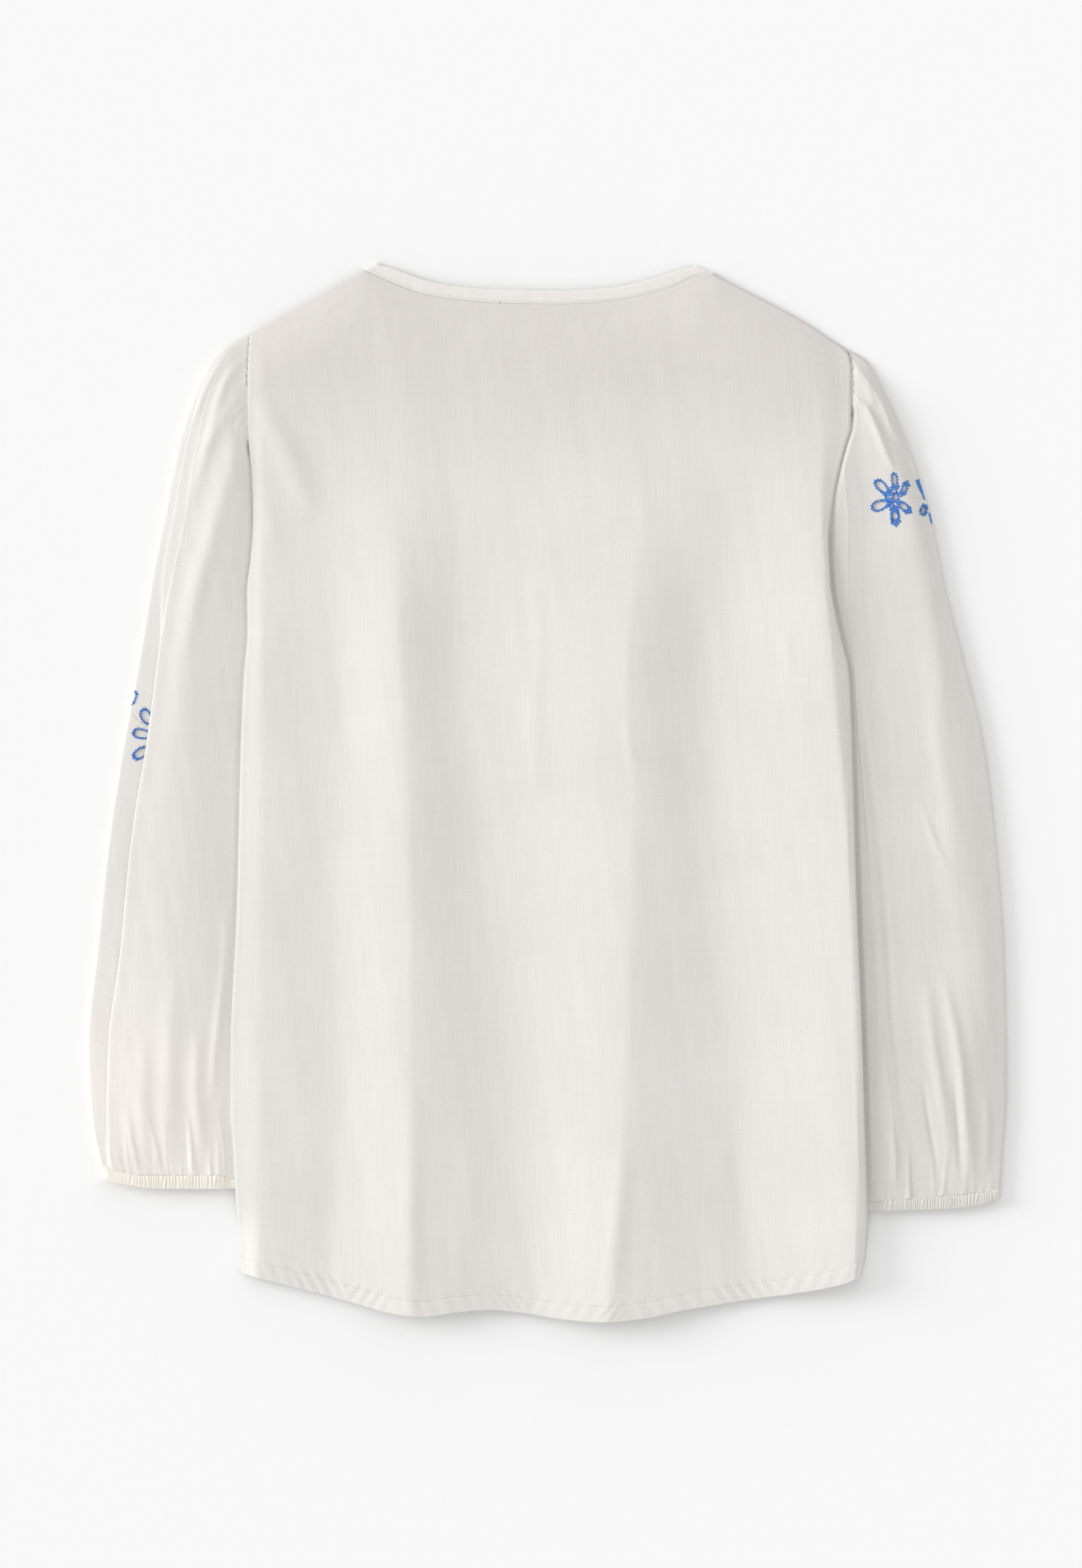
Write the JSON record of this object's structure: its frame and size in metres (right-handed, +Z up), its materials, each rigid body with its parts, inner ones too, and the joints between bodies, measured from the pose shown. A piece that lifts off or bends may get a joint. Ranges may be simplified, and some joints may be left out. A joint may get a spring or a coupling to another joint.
{
  "type": "blouse laid flat",
  "caption": "Loose cotton blouse laid flat, back up: bound round neck, long gathered sleeves with cutwork petals and elastic cuffs, curved shirt-tail hem.",
  "frame": {"origin": "under the middle of the blouse's overall box, on the surface that it lies on", "axes": "+X across the blouse to the right of the view from above, +Y from the hem to the neck, +Z up, out of the blouse's back"},
  "size_m": [0.5958, 0.6867, 0.0166],
  "materials": {
    "white_cotton": "matt, thin plain weave with slubs",
    "cotton_binding": "matt, folded double",
    "gathered_casing": "matt, gathered over elastic"
  },
  "bodies": {
    "root": {"front": "white_cotton", "back": "white_cotton", "neck_binding": "cotton_binding", "sleeve_left_upper": "white_cotton", "sleeve_left_under": "white_cotton", "sleeve_right_upper": "white_cotton", "sleeve_right_under": "white_cotton", "cuff_left": "gathered_casing", "cuff_right": "gathered_casing"}
  },
  "joints": []
}
